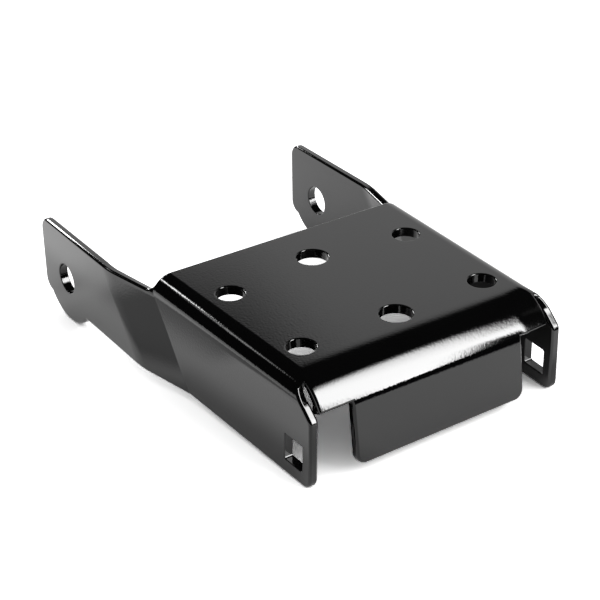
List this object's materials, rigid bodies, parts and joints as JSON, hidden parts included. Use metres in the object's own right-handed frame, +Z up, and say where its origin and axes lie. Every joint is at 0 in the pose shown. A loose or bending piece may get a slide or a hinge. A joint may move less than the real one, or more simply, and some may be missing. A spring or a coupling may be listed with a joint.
{
  "type": "mounting plate",
  "caption": "Folded steel mounting plate: drilled flat top, down-turned sides with square bolt holes, joggled rear arms with pivot holes, and a front tab.",
  "frame": {"origin": "centre of the four corner holes, on the plate's top face", "axes": "+X across the plate, +Y back from the front tab towards the arms, +Z up out of the top face"},
  "size_m": [0.1602, 0.2322, 0.0576],
  "materials": {
    "black_coat": "gloss black powder coat with a fine orange peel"
  },
  "bodies": {
    "root": {"mounting_plate": "black_coat"}
  },
  "joints": []
}
